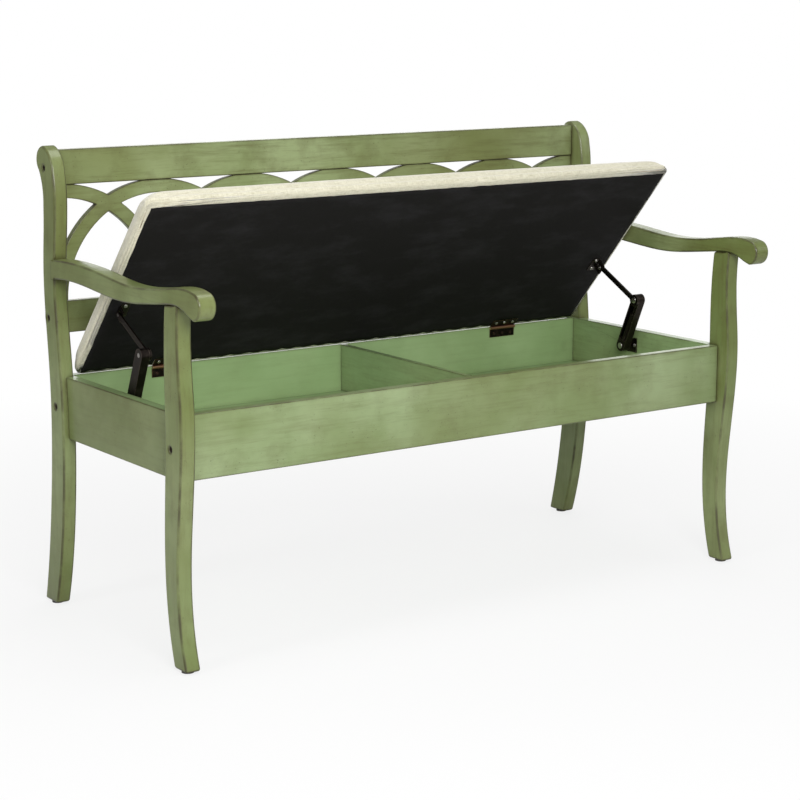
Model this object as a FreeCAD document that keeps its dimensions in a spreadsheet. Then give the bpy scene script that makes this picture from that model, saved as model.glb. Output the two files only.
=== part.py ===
import FreeCAD, Part
import math
import os
from FreeCAD import Placement, Rotation, Vector

# Settle bench with a lift-up padded seat over a storage box.
# X runs along the bench, Y runs from the front to the back, Z is up.
# The origin is on the floor, in the middle of the bench's outer size.
# All sizes are in millimetres, and the lid stands open on its two stays.

SIZES = {
    # frame
    "frame_width": 1280.0,
    "overall_depth": 642.0,
    "post_height": 871.0,
    "leg_width": 30.0,
    "post_width": 28.0,
    "post_inset": 4.0,
    "glide_height": 4.0,
    "glide_radius": 11.0,
    # side outlines, depths measured from the front or the back of the bench
    "foot_depth": 42.0,
    "leg_foot_setback": 84.0,
    "leg_knee_setback": 87.0,
    "leg_shin_setback": 108.0,
    "leg_shin_depth": 45.0,
    "leg_knee_depth": 56.0,
    "leg_knee_lift": 30.0,
    "leg_top_bow": 5.0,
    "leg_top_setback": 90.0,
    "leg_top_depth": 45.0,
    "post_foot_depth": 50.0,
    "post_shin_setback": 93.0,
    "post_shin_depth": 54.0,
    "post_waist_setback": 95.0,
    "post_belly_setback": 81.0,
    "post_neck_setback": 91.0,
    "post_waist_depth": 48.0,
    "post_belly_depth": 46.0,
    "post_crest_depth": 57.0,
    "post_crest_height": 63.0,
    "crest_lean": 13.0,
    "crest_shoulder": 20.0,
    "crest_crown": 1.5,
    "crest_hollow": 15.0,
    # arms
    "arm_width": 34.0,
    "arm_thickness": 38.0,
    "arm_dip_thickness": 32.0,
    "arm_height": 668.0,
    "arm_dip": 13.5,
    "arm_throat_rise": 7.5,
    "scroll_radius": 24.0,
    "scroll_setback": 13.0,
    # places along the arm, as shares of the bench's depth from its front
    "arm_rise_share": 0.208,
    "arm_dip_share": 0.405,
    "arm_slope_share": 0.576,
    "arm_heel_share": 0.757,
    "under_rise_share": 0.324,
    "under_dip_share": 0.420,
    "under_heel_share": 0.607,
    # storage box
    "box_top": 448.0,
    "apron_height": 116.0,
    "front_apron_thickness": 20.0,
    "rear_apron_thickness": 18.0,
    "side_apron_thickness": 22.0,
    "side_apron_inset": 16.0,
    "front_apron_setback": 115.0,
    "rear_apron_setback": 61.0,
    "cleat_height": 12.0,
    "cleat_width": 18.0,
    "floor_thickness": 9.0,
    "divider_thickness": 12.0,
    # back
    "top_rail_drop": 6.0,
    "top_rail_height": 65.0,
    "low_rail_top": 585.0,
    "low_rail_height": 60.0,
    "rail_thickness": 17.0,
    "rail_setback": 42.0,
    "splat_thickness": 13.0,
    "arch_band": 26.5,
    "arch_flat": 2.0,
    "arch_spread": 1.0707,
    # fasteners of the frame
    "bolt_radius": 3.0,
    "bolt_length": 62.0,
    "bolt_head_radius": 5.0,
    "bolt_head_height": 5.0,
    "bolt_recess": 2.0,
    "bolt_clearance": 0.3,
    "nut_radius": 5.0,
    "nut_length": 13.0,
    "nut_hole_depth": 24.0,
    "tenon_thickness": 10.0,
    "tenon_width": 24.0,
    "tenon_length": 40.0,
    # lid
    "lid_angle": 48.6,
    "lid_side_gap": 16.0,
    "lid_corner": 24.0,
    "lid_depth": 454.0,
    "lid_rear_gap": 2.0,
    "board_thickness": 12.0,
    "board_rise": 5.0,
    "cover_thickness": 1.2,
    "cover_hem": 22.0,
    "dust_thickness": 1.0,
    "dust_margin": 8.0,
    "pad_edge": 20.0,
    "pad_crown": 12.0,
    "pad_side_pull": 5.0,
    "pad_end_slope": 24.0,
    # hinges
    "hinge_setback": 82.5,
    "hinge_drop": 2.5,
    "hinge_length": 64.0,
    "hinge_end_distance": 189.0,
    "hinge_leaf_depth": 20.0,
    "hinge_leaf_thickness": 1.6,
    "knuckle_radius": 3.2,
    "knuckle_gap": 0.4,
    "hinge_pin_radius": 1.5,
    "running_gap": 0.05,
    "hinge_screw_radius": 1.5,
    "hinge_screw_length": 9.0,
    # lid stays, reach is forward of the hinge line
    "stay_inset": 21.0,
    "stay_foot_reach": 188.5,
    "stay_foot_drop": 30.0,
    "stay_elbow_reach": 233.0,
    "stay_elbow_rise": 72.0,
    "stay_top_reach": 180.0,
    "stay_top_drop": 9.0,
    "stay_housing_width": 24.0,
    "stay_housing_depth": 16.0,
    "stay_housing_wall": 2.5,
    "stay_pin_radius": 4.0,
    "stay_gap": 0.5,
    "damper_radius": 6.0,
    "damper_length": 62.0,
    "damper_rod_radius": 3.0,
    "stay_arm_width": 10.0,
    "stay_arm_thickness": 4.0,
    "stay_arm_head": 12.0,
    "top_pin_radius": 3.0,
    "foot_plate_depth": 40.0,
    "foot_plate_height": 30.0,
    "foot_plate_thickness": 2.0,
    "top_ear_thickness": 3.0,
    "top_plate_width": 18.0,
    "top_plate_length": 34.0,
    "slot_length": 4.8,
    "slot_side_room": 1.1,
    "stay_screw_radius": 1.8,
    "stay_screw_length": 10.0,
}
BAYS = 6
SCREW_SIDES = 8
ARCS_PER_POINT = 2

doc = FreeCAD.newDocument("settle_bench")
sheet = doc.addObject("Spreadsheet::Sheet", "Sizes")
for row, (alias, value) in enumerate(SIZES.items(), start=1):
    sheet.set("A%d" % row, alias)
    sheet.set("B%d" % row, str(value))
    sheet.setAlias("B%d" % row, alias)
doc.recompute()


class Named:
    """Reads a size by its name, as a number."""

    def __getattr__(self, alias):
        return float(SIZES[alias])


size = Named()
SIDES = (("left", -1), ("right", 1))
ACROSS = Rotation(Vector(0, 1, 0), 90)
BACKWARD = Rotation(Vector(1, 0, 0), -90)
UPRIGHT = Rotation()

# Places worked out from the sizes.
front = -size.overall_depth / 2
back = size.overall_depth / 2
leg_outer = size.frame_width / 2
leg_inner = leg_outer - size.leg_width
post_outer = leg_outer - size.post_inset
post_inner = post_outer - size.post_width
apron_bottom = size.box_top - size.apron_height
apron_outer = leg_outer - size.side_apron_inset
apron_inner = apron_outer - size.side_apron_thickness
front_apron_face = front + size.front_apron_setback
front_apron_inner = front_apron_face + size.front_apron_thickness
rear_apron_back = back - size.rear_apron_setback
rear_apron_face = rear_apron_back - size.rear_apron_thickness
rail_back = back - size.rail_setback
rail_middle = rail_back - size.rail_thickness / 2
top_rail_bottom = size.post_height - size.top_rail_drop - size.top_rail_height
low_rail_bottom = size.low_rail_top - size.low_rail_height
floor_bottom = apron_bottom + size.cleat_height
floor_top = floor_bottom + size.floor_thickness
lid_half = leg_inner - size.lid_side_gap
hinge_half = lid_half - size.hinge_end_distance
stay_line = apron_inner - size.stay_inset
hinge_y = back - size.hinge_setback
hinge_z = size.box_top - size.hinge_drop

parts = []


def bind(item, **expressions):
    """Ties properties to sheet formulas. A name such as Placement_Base_x stands for its path."""
    for path, formula in expressions.items():
        item.setExpression(path.replace("_", "."), formula)


def keep(item, label):
    """Names a finished sub-part."""
    item.Label = label
    parts.append(item)
    return item


def block(length, width, height, corner):
    """A box from its lowest corner. Each size is a formula or a number."""
    item = doc.addObject("Part::Box", "Block")
    for name, value in (("Length", length), ("Width", width), ("Height", height)):
        if isinstance(value, str):
            item.setExpression(name, value)
        else:
            setattr(item, name, value)
    item.Placement = Placement(Vector(*corner), UPRIGHT)
    return item


def rod(radius, length, start, turn=UPRIGHT):
    """A cylinder that starts at a point and runs along Z, or along what turn makes of Z."""
    item = doc.addObject("Part::Cylinder", "Rod")
    for name, value in (("Radius", radius), ("Height", length)):
        if isinstance(value, str):
            item.setExpression(name, value)
        else:
            setattr(item, name, value)
    item.Placement = Placement(Vector(*start), turn)
    return item


def screw(radius, length, start, turn=UPRIGHT):
    """A fastener's plain rod, with few flat sides since it lies inside the wood."""
    item = doc.addObject("Part::Prism", "Screw")
    item.Polygon = SCREW_SIDES
    for name, value in (("Circumradius", radius), ("Height", length)):
        if isinstance(value, str):
            item.setExpression(name, value)
        else:
            setattr(item, name, value)
    item.Placement = Placement(Vector(*start), turn)
    return item


def joined(items):
    item = doc.addObject("Part::MultiFuse", "Joined")
    item.Shapes = list(items)
    return item


def grouped(items):
    item = doc.addObject("Part::Compound", "Grouped")
    item.Links = list(items)
    return item


def cut(base, tool):
    item = doc.addObject("Part::Cut", "Cut")
    item.Base = base
    item.Tool = tool
    return item


def round_corners(base, radius):
    """Rounds the four upright corners of a flat board."""
    doc.recompute()
    item = doc.addObject("Part::Fillet", "Rounded")
    item.Base = base
    chosen = []
    for number, edge in enumerate(base.Shape.Edges, start=1):
        if edge.BoundBox.ZLength > edge.BoundBox.DiagonalLength * 0.999:
            chosen.append((number, radius, radius))
    item.Edges = chosen
    return item


def arc_or_line(start, middle, end):
    """An arc through three points, or a line where they lie straight."""
    bend = (middle - start).cross(end - start).Length
    if bend < 1e-6 * (end - start).Length:
        return Part.LineSegment(start, end)
    return Part.Arc(start, middle, end)


def spline(points):
    """A smooth curve through a few (y, z) points, as a chain of arcs."""
    curve = Part.BSplineCurve()
    curve.interpolate([Vector(y, z, 0) for y, z in points])
    count = ARCS_PER_POINT * (len(points) - 1)
    step = (curve.LastParameter - curve.FirstParameter) / (2 * count)
    marks = [curve.value(curve.FirstParameter + step * index) for index in range(2 * count + 1)]
    return [arc_or_line(*marks[2 * index:2 * index + 3]) for index in range(count)]


def line(start, end):
    return Part.LineSegment(Vector(*start, 0), Vector(*end, 0))


def sawn(outline, thickness, x):
    """A board sawn to a side outline and as thick as a sheet size."""
    body = doc.addObject("PartDesign::Body", "Sawn")
    plane = [f for f in body.Origin.OriginFeatures if f.Role == "YZ_Plane"][0]
    sketch = body.newObject("Sketcher::SketchObject", "Outline")
    sketch.AttachmentSupport = (plane, [""])
    sketch.MapMode = "FlatFace"
    for piece in outline:
        sketch.addGeometry(piece, False)
    pad = body.newObject("PartDesign::Pad", "Thickness")
    pad.Profile = sketch
    pad.setExpression("Length", "Sizes." + thickness)
    doc.recompute()
    body.Placement = Placement(Vector(x, 0, 0), UPRIGHT)
    return body


# Outlines of the sawn parts, as (y, z) curves.
foot = size.glide_height


def leg_outline():
    """Front leg: swept foot, full knee beside the box, slim top under the arm."""
    top = size.arm_height - size.arm_thickness / 2
    shin = (foot + apron_bottom) / 2
    knee = size.box_top - size.apron_height / 4
    waist = (size.box_top + size.arm_height) / 2
    front_points = [
        (front + size.leg_foot_setback, foot),
        (front + size.leg_shin_setback, shin),
        (front + size.leg_knee_setback, knee + size.leg_knee_lift),
        (front + size.leg_top_setback + size.leg_top_bow, waist),
        (front + size.leg_top_setback, top),
    ]
    rear_points = [
        (front + size.leg_top_setback + size.leg_top_depth, top),
        (front + size.leg_top_setback + size.leg_top_depth + 1.5 * size.leg_top_bow, waist),
        (front + size.leg_knee_setback + size.leg_knee_depth, knee),
        (front + size.leg_shin_setback + size.leg_shin_depth, shin),
        (front + size.leg_foot_setback + size.foot_depth, foot),
    ]
    top_edge = line(front_points[-1], rear_points[0])
    foot_edge = line(rear_points[-1], front_points[0])
    return spline(front_points) + [top_edge] + spline(rear_points) + [foot_edge]


def post_outline():
    """Rear post: foot swept back, waist at the seat, belly behind the arm, crest rolled back."""
    neck = size.post_height - size.post_crest_height
    shin = (foot + size.box_top) / 2
    belly = size.arm_height - size.arm_thickness / 2
    neck_front = back - size.post_neck_setback
    crest_front = neck_front + size.crest_lean
    crest_rear = crest_front + size.post_crest_depth
    shoulder = size.post_height - size.crest_shoulder
    crown = size.post_height - size.crest_crown
    front_points = [
        (back - size.post_foot_depth, foot),
        (back - size.post_shin_setback, shin),
        (back - size.post_waist_setback, size.box_top),
        (back - size.post_belly_setback, belly),
        (neck_front, neck),
    ]
    crest_points = [
        (crest_front, shoulder),
        (crest_front + size.post_crest_depth * 0.316, crown),
        (crest_front + size.post_crest_depth * 0.754, crown),
        (crest_rear, shoulder),
    ]
    rear_points = [
        (crest_rear - size.crest_hollow, neck + size.crest_hollow / 2),
        (neck_front + size.post_belly_depth + 2, neck - size.post_crest_height * 0.4),
        (back - size.post_belly_setback + size.post_belly_depth, belly),
        (back - size.post_waist_setback + size.post_waist_depth, size.box_top),
        (back - size.post_shin_setback + size.post_shin_depth, shin),
        (back, foot),
    ]
    foot_edge = line(rear_points[-1], front_points[0])
    return spline(front_points + crest_points + rear_points) + [foot_edge]


def along_arm(share):
    """The depth of a place on the arm, from its share of the bench's depth."""
    return front + share * size.overall_depth


def arm_outline():
    """Arm: level behind, a dip, a rise over the leg and a scroll at the front end."""
    top = size.arm_height
    under_dip = top - size.arm_dip - size.arm_dip_thickness
    dip = top - size.arm_dip
    scroll_y = front + size.scroll_setback + size.scroll_radius
    scroll_z = top - size.scroll_radius
    rear = back - size.post_waist_setback + size.post_waist_depth / 2
    leg_front = front + size.leg_top_setback
    under = top - size.arm_thickness + size.arm_throat_rise
    scroll_points = [
        (scroll_y + size.scroll_radius * math.cos(turn), scroll_z + size.scroll_radius * math.sin(turn))
        for turn in (math.radians(step) for step in range(90, 316, 45))
    ]
    top_points = [
        (rear, top - 2),
        (along_arm(size.arm_heel_share), top + 2),
        (along_arm(size.arm_slope_share), top - 4),
        (along_arm(size.arm_dip_share), dip),
        (along_arm(size.arm_rise_share), top - 4),
    ]
    under_points = [
        (leg_front - size.scroll_radius, under - 5),
        (leg_front - 8, under - 0.5),
        (leg_front + size.leg_top_depth - 5, under - 1),
        (along_arm(size.under_rise_share), under_dip + 5),
        (along_arm(size.under_dip_share), under_dip),
        (along_arm(size.under_heel_share), top - size.arm_thickness - 1),
        (rear, top - size.arm_thickness - 2),
    ]
    rear_edge = line(under_points[-1], top_points[0])
    return spline(top_points + scroll_points + under_points) + [rear_edge]


# Bolt holes: a shank hole with a counterbore at each outer face.
hole_radius = size.bolt_radius + size.bolt_clearance
recess_radius = size.bolt_head_radius + size.bolt_clearance
head_depth = size.bolt_recess + size.bolt_head_height
leg_bolt_y = front_apron_face + size.front_apron_thickness / 2
post_bolt_y = rear_apron_face + size.rear_apron_thickness / 2
apron_bolt_z = apron_bottom + size.apron_height / 2
bolt_places = [
    (leg_outer, leg_bolt_y, apron_bolt_z),
    (post_outer, post_bolt_y, apron_bolt_z),
    (post_outer, rail_middle, low_rail_bottom + size.low_rail_height / 2),
    (post_outer, rail_middle, top_rail_bottom + size.top_rail_height / 2),
]


def bolt_solid(sign, place, shank, head, reach, sink, top):
    """A headed rod that runs inward along X from a side face."""
    outer, y, z = place
    start = sign * (outer - sink - top)
    head_start = sign * (outer - sink - top / 2) - top / 2
    shank_start = start - (reach if sign > 0 else 0)
    return joined([
        screw(shank, reach, (shank_start, y, z), ACROSS),
        screw(head, top, (head_start, y, z), ACROSS),
    ])


def nut_x(sign, outer):
    return sign * (outer - head_depth - size.bolt_length + 2 * size.nut_radius)


holes = []
bolts = []
nuts = []
nut_holes = []
for side, sign in SIDES:
    for place in bolt_places:
        outer, y, z = place
        holes.append(bolt_solid(sign, place, hole_radius, recess_radius,
                                size.bolt_length + size.bolt_clearance, 0, head_depth))
        bolts.append(bolt_solid(sign, place, size.bolt_radius, size.bolt_head_radius,
                                size.bolt_length, size.bolt_recess, size.bolt_head_height))
        nut_start = y - size.nut_length / 2
        nut_place = (nut_x(sign, outer), nut_start, z)
        nuts.append(screw("Sizes.nut_radius", "Sizes.nut_length", nut_place, BACKWARD))
        nut_holes.append(screw("Sizes.nut_radius", "Sizes.nut_hole_depth", nut_place, BACKWARD))
hole_set = grouped(holes)
nut_set = grouped(nuts)
keep(grouped(bolts), "frame_bolts")
keep(cut(nut_set, hole_set), "barrel_nuts")
voids = joined(holes + nut_holes)

# Loose tenons: upright from the front legs into the arms, level from the arms into the posts.
leg_top_y = front + size.leg_top_setback + size.leg_top_depth / 2
arm_under = size.arm_height - size.arm_thickness + size.arm_throat_rise
arm_middle = size.arm_height - size.arm_thickness / 2
arm_line = leg_outer - size.leg_width / 2
post_front = back - size.post_belly_setback
tenons = []
for side, sign in SIDES:
    x = sign * arm_line - size.tenon_thickness / 2
    tenons.append(block("Sizes.tenon_thickness", "Sizes.tenon_width", "Sizes.tenon_length",
                        (x, leg_top_y - size.tenon_width / 2, arm_under - size.tenon_length / 2)))
    tenons.append(block("Sizes.tenon_thickness", "Sizes.tenon_length", "Sizes.tenon_width",
                        (x, post_front - size.tenon_length / 2, arm_middle - size.tenon_width / 2)))
tenon_set = keep(grouped(tenons), "arm_tenons")

# Lid. Its pieces are drawn closed, about the hinge line, and then turned open.
def on_lid(items, label):
    """Turns closed pieces about the hinge line by the lid's opening angle."""
    item = grouped(items)
    item.Placement = Placement(Vector(0, hinge_y, hinge_z), Rotation(Vector(-1, 0, 0), size.lid_angle))
    bind(item, Placement_Rotation_Angle="Sizes.lid_angle")
    return keep(item, label)


lid_width = 2 * lid_half
board_rear = -size.lid_rear_gap
board_front = board_rear - size.lid_depth
board_top = size.board_rise + size.board_thickness
wrap = size.cover_thickness
dust_top = size.board_rise - wrap
dust_bottom = dust_top - size.dust_thickness

# Butt hinges: five knuckles, the box leaf carries the outer three, the lid leaf the other two.
KNUCKLES = 5
knuckle_length = size.hinge_length / KNUCKLES
bore_radius = (size.hinge_pin_radius + size.running_gap) / math.cos(math.pi / SCREW_SIDES)
notch_reach = size.knuckle_radius + size.knuckle_gap
HINGE_SCREWS = 3


def knuckle_starts(first):
    """Distances along the hinge at which every other knuckle starts."""
    return [index * knuckle_length for index in range(first, KNUCKLES, 2)]


def knuckle_notch(start):
    """The room that a leaf leaves for one knuckle of the other leaf."""
    return block(knuckle_length, 2 * notch_reach, 2 * notch_reach, (start, -notch_reach, -notch_reach))


def leaf_and_knuckles(x, first, plate):
    """A leaf with its knuckles, notched for the other leaf's knuckles."""
    solids = [plate]
    for start in knuckle_starts(first):
        solids.append(rod("Sizes.knuckle_radius", knuckle_length - size.knuckle_gap,
                          (x + start + size.knuckle_gap / 2, 0, 0), ACROSS))
    whole = joined(solids)
    notches = []
    for start in knuckle_starts(1 - first):
        notches.append(knuckle_notch(x + start))
    notched = cut(whole, grouped(notches))
    bore = screw(bore_radius, "Sizes.hinge_length", (x, 0, 0), ACROSS)
    return cut(notched, bore)


box_leaves = []
lid_leaves = []
hinge_pins = []
box_screws = []
lid_screws = []
box_leaf_back = rear_apron_face - hinge_y
leaf_under = dust_top - size.hinge_leaf_thickness
screw_reach = size.hinge_screw_length
for side, sign in SIDES:
    x = sign * hinge_half - size.hinge_length / 2
    box_plate = block("Sizes.hinge_length", "Sizes.hinge_leaf_thickness", size.hinge_leaf_depth,
                      (x, box_leaf_back - size.hinge_leaf_thickness, -size.hinge_leaf_depth))
    box_leaf = leaf_and_knuckles(x, 0, box_plate)
    lid_plate = block("Sizes.hinge_length", size.hinge_leaf_depth, "Sizes.hinge_leaf_thickness",
                      (x, -size.hinge_leaf_depth, leaf_under))
    lid_leaf = leaf_and_knuckles(x, 1, lid_plate)
    box_set = []
    lid_set = []
    low = -size.hinge_leaf_depth * 0.62
    box_face = box_leaf_back - size.hinge_leaf_thickness
    for index in range(HINGE_SCREWS):
        screw_x = x + size.hinge_length * (index + 0.5) / HINGE_SCREWS
        box_set.append(screw("Sizes.hinge_screw_radius", screw_reach, (screw_x, box_face, low), BACKWARD))
        lid_set.append(screw("Sizes.hinge_screw_radius", screw_reach, (screw_x, low, leaf_under)))
    box_screws += box_set
    lid_screws += lid_set
    box_leaves.append(cut(box_leaf, grouped(box_set)))
    lid_leaves.append(cut(lid_leaf, grouped(lid_set)))
    hinge_pins.append(rod("Sizes.hinge_pin_radius", "Sizes.hinge_length", (x, 0, 0), ACROSS))


def on_hinge_line(items, label):
    """Carries pieces drawn about the hinge line to it, without turning them."""
    item = grouped(items)
    item.Placement = Placement(Vector(0, hinge_y, hinge_z), UPRIGHT)
    bind(item, Placement_Base_z="Sizes.box_top - Sizes.hinge_drop")
    return keep(item, label)


on_hinge_line(box_leaves, "hinge_box_leaves")
on_hinge_line(hinge_pins, "hinge_pins")
box_screw_set = on_hinge_line(box_screws, "hinge_box_screws")
on_lid(lid_leaves, "hinge_lid_leaves")
on_lid(lid_screws, "hinge_lid_screws")

# Lid stays. Points are (forward, up) from the hinge line with the lid open.
open_angle = math.radians(size.lid_angle)


def opened(reach, rise):
    """Where a point of the closed lid goes when the lid is open."""
    return (reach * math.cos(open_angle) - rise * math.sin(open_angle),
            reach * math.sin(open_angle) + rise * math.cos(open_angle))


def in_bench(point):
    """Y and Z in the bench of a (forward, up) point."""
    return (hinge_y - point[0], hinge_z + point[1])


foot_point = in_bench((size.stay_foot_reach, -size.stay_foot_drop))
elbow_point = in_bench((size.stay_elbow_reach, size.stay_elbow_rise))
top_point = in_bench(opened(size.stay_top_reach, -size.stay_top_drop))
housing_length = math.dist(foot_point, elbow_point)
arm_length = math.dist(elbow_point, top_point)


def lean(start, end):
    """Turns Z to run from start to end in the YZ plane."""
    angle = math.degrees(math.atan2(end[0] - start[0], end[1] - start[1]))
    return Rotation(Vector(-1, 0, 0), angle)


def laid(items, origin, turn, label):
    item = grouped(items)
    item.Placement = Placement(Vector(0, origin[0], origin[1]), turn)
    return keep(item, label)


foot_screw_list = []
half_housing = size.stay_housing_depth / 2
half_width = size.stay_housing_width / 2
wall = size.stay_housing_wall
pin_hole_radius = size.stay_pin_radius + size.running_gap
housing_turn = lean(foot_point, elbow_point)
arm_turn = lean(elbow_point, top_point)
open_side = stay_line - half_housing
arm_far = open_side - size.stay_gap - size.stay_arm_thickness
ear_near = arm_far - size.stay_gap - size.top_ear_thickness
for side, sign in SIDES:
    def span(low, high):
        """Start of an X range given for the right side, on this side."""
        return low if sign > 0 else -high

    # Housing: a channel, open towards the middle of the bench, with a solid eye at each end.
    shell = block("Sizes.stay_housing_depth", "Sizes.stay_housing_width", housing_length,
                  (span(open_side, open_side + size.stay_housing_depth), -half_width, 0))
    eyes = [
        rod("Sizes.stay_housing_width / 2", "Sizes.stay_housing_depth",
            (span(open_side, open_side + size.stay_housing_depth), 0, height), ACROSS)
        for height in (0, housing_length)
    ]
    trough_start = half_width + wall
    trough = block(size.stay_housing_depth - wall, size.stay_housing_width - 2 * wall,
                   housing_length - 2 * trough_start,
                   (span(open_side, open_side + size.stay_housing_depth - wall),
                    -half_width + wall, trough_start))
    bores = [
        rod(pin_hole_radius, size.stay_housing_depth,
            (span(open_side, open_side + size.stay_housing_depth), 0, 0), ACROSS),
        rod("Sizes.stay_pin_radius", size.stay_housing_depth,
            (span(open_side, open_side + size.stay_housing_depth), 0, housing_length), ACROSS),
    ]
    housing = cut(joined([shell] + eyes), joined([trough] + bores))
    laid([housing], foot_point, housing_turn, side + "_stay_housing")

    # Damper: a cylinder and its rod, lying in the channel between the eyes.
    damper_x = sign * (open_side + (size.stay_housing_depth - wall) / 2)
    rod_length = housing_length - 2 * trough_start - size.damper_length
    damper = joined([
        rod("Sizes.damper_radius", "Sizes.damper_length", (damper_x, 0, trough_start)),
        rod("Sizes.damper_rod_radius", rod_length, (damper_x, 0, trough_start + size.damper_length)),
    ])
    laid([damper], foot_point, housing_turn, side + "_stay_damper")

    # Elbow pin: fixed in the housing's upper eye, the arm's head turns on it.
    pin_low = arm_far - size.stay_gap
    pin_high = open_side + size.stay_housing_depth
    elbow_pin = rod("Sizes.stay_pin_radius", pin_high - pin_low, (span(pin_low, pin_high), 0, 0), ACROSS)
    laid([elbow_pin], elbow_point, UPRIGHT, side + "_elbow_pin")

    # Arm: a broad head on the elbow pin and a slim bar to the lid bracket.
    arm_start = span(arm_far, arm_far + size.stay_arm_thickness)
    lever = joined([
        rod("Sizes.stay_arm_head", "Sizes.stay_arm_thickness", (arm_start, 0, 0), ACROSS),
        block("Sizes.stay_arm_thickness", "Sizes.stay_arm_width", arm_length,
              (arm_start, -size.stay_arm_width / 2, 0)),
        rod("Sizes.stay_arm_width / 2", "Sizes.stay_arm_thickness", (arm_start, 0, arm_length), ACROSS),
    ])
    lever_bores = joined([
        rod(pin_hole_radius, size.stay_arm_thickness, (arm_start, 0, 0), ACROSS),
        rod("Sizes.top_pin_radius", size.stay_arm_thickness, (arm_start, 0, arm_length), ACROSS),
    ])
    laid([cut(lever, lever_bores)], elbow_point, arm_turn, side + "_stay_arm")

    # Top pin: fixed in the arm's end, it slides in the slot of the lid bracket.
    top_low = ear_near - size.stay_gap
    top_high = arm_far + size.stay_arm_thickness
    top_pin = rod("Sizes.top_pin_radius", top_high - top_low, (span(top_low, top_high), 0, 0), ACROSS)
    laid([top_pin], top_point, UPRIGHT, side + "_top_pin")

    # Foot bracket: a plate on the side apron with the stud that the housing turns on.
    plate_low = apron_inner - size.foot_plate_thickness
    stud_low = open_side - size.stay_gap
    foot_y, foot_z = foot_point
    bracket = joined([
        block("Sizes.foot_plate_thickness", "Sizes.foot_plate_depth", "Sizes.foot_plate_height",
              (span(plate_low, apron_inner), foot_y - size.foot_plate_depth / 2,
               foot_z - size.foot_plate_height / 2)),
        rod("Sizes.stay_pin_radius", plate_low - stud_low, (span(stud_low, plate_low), foot_y, foot_z), ACROSS),
    ])
    foot_screws = []
    for place in (-1, 1):
        screw_y = foot_y + place * (size.foot_plate_depth / 2 - 2 * size.stay_screw_radius - 2)
        foot_screws.append(screw("Sizes.stay_screw_radius", size.stay_screw_length,
                                 (span(plate_low, plate_low + size.stay_screw_length), screw_y, foot_z), ACROSS))
    keep(cut(bracket, grouped(foot_screws)), side + "_stay_foot_bracket")
    foot_screw_list.append(keep(grouped(foot_screws), side + "_foot_bracket_screws"))

    # Top bracket: a plate under the lid with an ear, whose slot holds the top pin.
    reach = -size.stay_top_reach
    drop = -size.stay_top_drop
    plate_bottom = dust_bottom - size.foot_plate_thickness
    ear_bottom = drop - size.top_pin_radius - 5
    ear = block("Sizes.top_ear_thickness", size.top_plate_length * 0.7, dust_bottom - ear_bottom,
                (span(ear_near, ear_near + size.top_ear_thickness),
                 reach - size.top_plate_length * 0.35, ear_bottom))
    base = block("Sizes.top_plate_width", "Sizes.top_plate_length", "Sizes.foot_plate_thickness",
                 (span(ear_near - size.top_plate_width, ear_near), reach - size.top_plate_length / 2,
                  plate_bottom))
    slot_radius = size.top_pin_radius + size.slot_side_room / 2 + 0.3
    slot_y = reach - size.slot_side_room / 2
    slot = joined([
        rod(slot_radius, size.top_ear_thickness,
            (span(ear_near, ear_near + size.top_ear_thickness), slot_y, drop), ACROSS),
        rod(slot_radius, size.top_ear_thickness,
            (span(ear_near, ear_near + size.top_ear_thickness), slot_y, drop + size.slot_length), ACROSS),
        block("Sizes.top_ear_thickness", 2 * slot_radius, "Sizes.slot_length",
              (span(ear_near, ear_near + size.top_ear_thickness), slot_y - slot_radius, drop)),
    ])
    top_screws = []
    for place in (-1, 1):
        screw_x = sign * (ear_near - size.top_plate_width / 2)
        screw_y = reach + place * (size.top_plate_length / 2 - 2 * size.stay_screw_radius - 2)
        top_screws.append(screw("Sizes.stay_screw_radius", size.stay_screw_length,
                                (screw_x, screw_y, plate_bottom)))
    on_lid([cut(cut(joined([ear, base]), slot), grouped(top_screws))], side + "_stay_top_bracket")
    on_lid(top_screws, side + "_top_bracket_screws")
    lid_screws += top_screws

foot_screw_set = grouped(foot_screw_list)
lid_screw_set = grouped(lid_screws)


# Posts, legs and arms.
post_blanks = {}
leg_blanks = {}
for side, sign in SIDES:
    post_x = post_inner if sign > 0 else -post_outer
    leg_x = leg_inner if sign > 0 else -leg_outer
    arm_x = sign * arm_line - size.arm_width / 2
    post = sawn(post_outline(), "post_width", post_x)
    leg = sawn(leg_outline(), "leg_width", leg_x)
    arm = sawn(arm_outline(), "arm_width", arm_x)
    arm_seated = cut(arm, sawn(post_outline(), "arm_width", arm_x))
    leg_seated = cut(leg, arm)
    post_blanks[side] = post
    leg_blanks[side] = leg
    keep(cut(cut(post, voids), tenon_set), side + "_rear_post")
    keep(cut(cut(leg_seated, voids), tenon_set), side + "_front_leg")
    keep(cut(arm_seated, tenon_set), side + "_arm")

# Straight rails of the back.
between_posts = "Sizes.frame_width - 2 * Sizes.post_inset - 2 * Sizes.post_width"
for name, height, bottom in (
    ("top_rail", "Sizes.top_rail_height", top_rail_bottom),
    ("lower_back_rail", "Sizes.low_rail_height", low_rail_bottom),
):
    board = block(between_posts, "Sizes.rail_thickness", height,
                  (-post_inner, rail_back - size.rail_thickness, bottom))
    keep(cut(board, voids), name)

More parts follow.
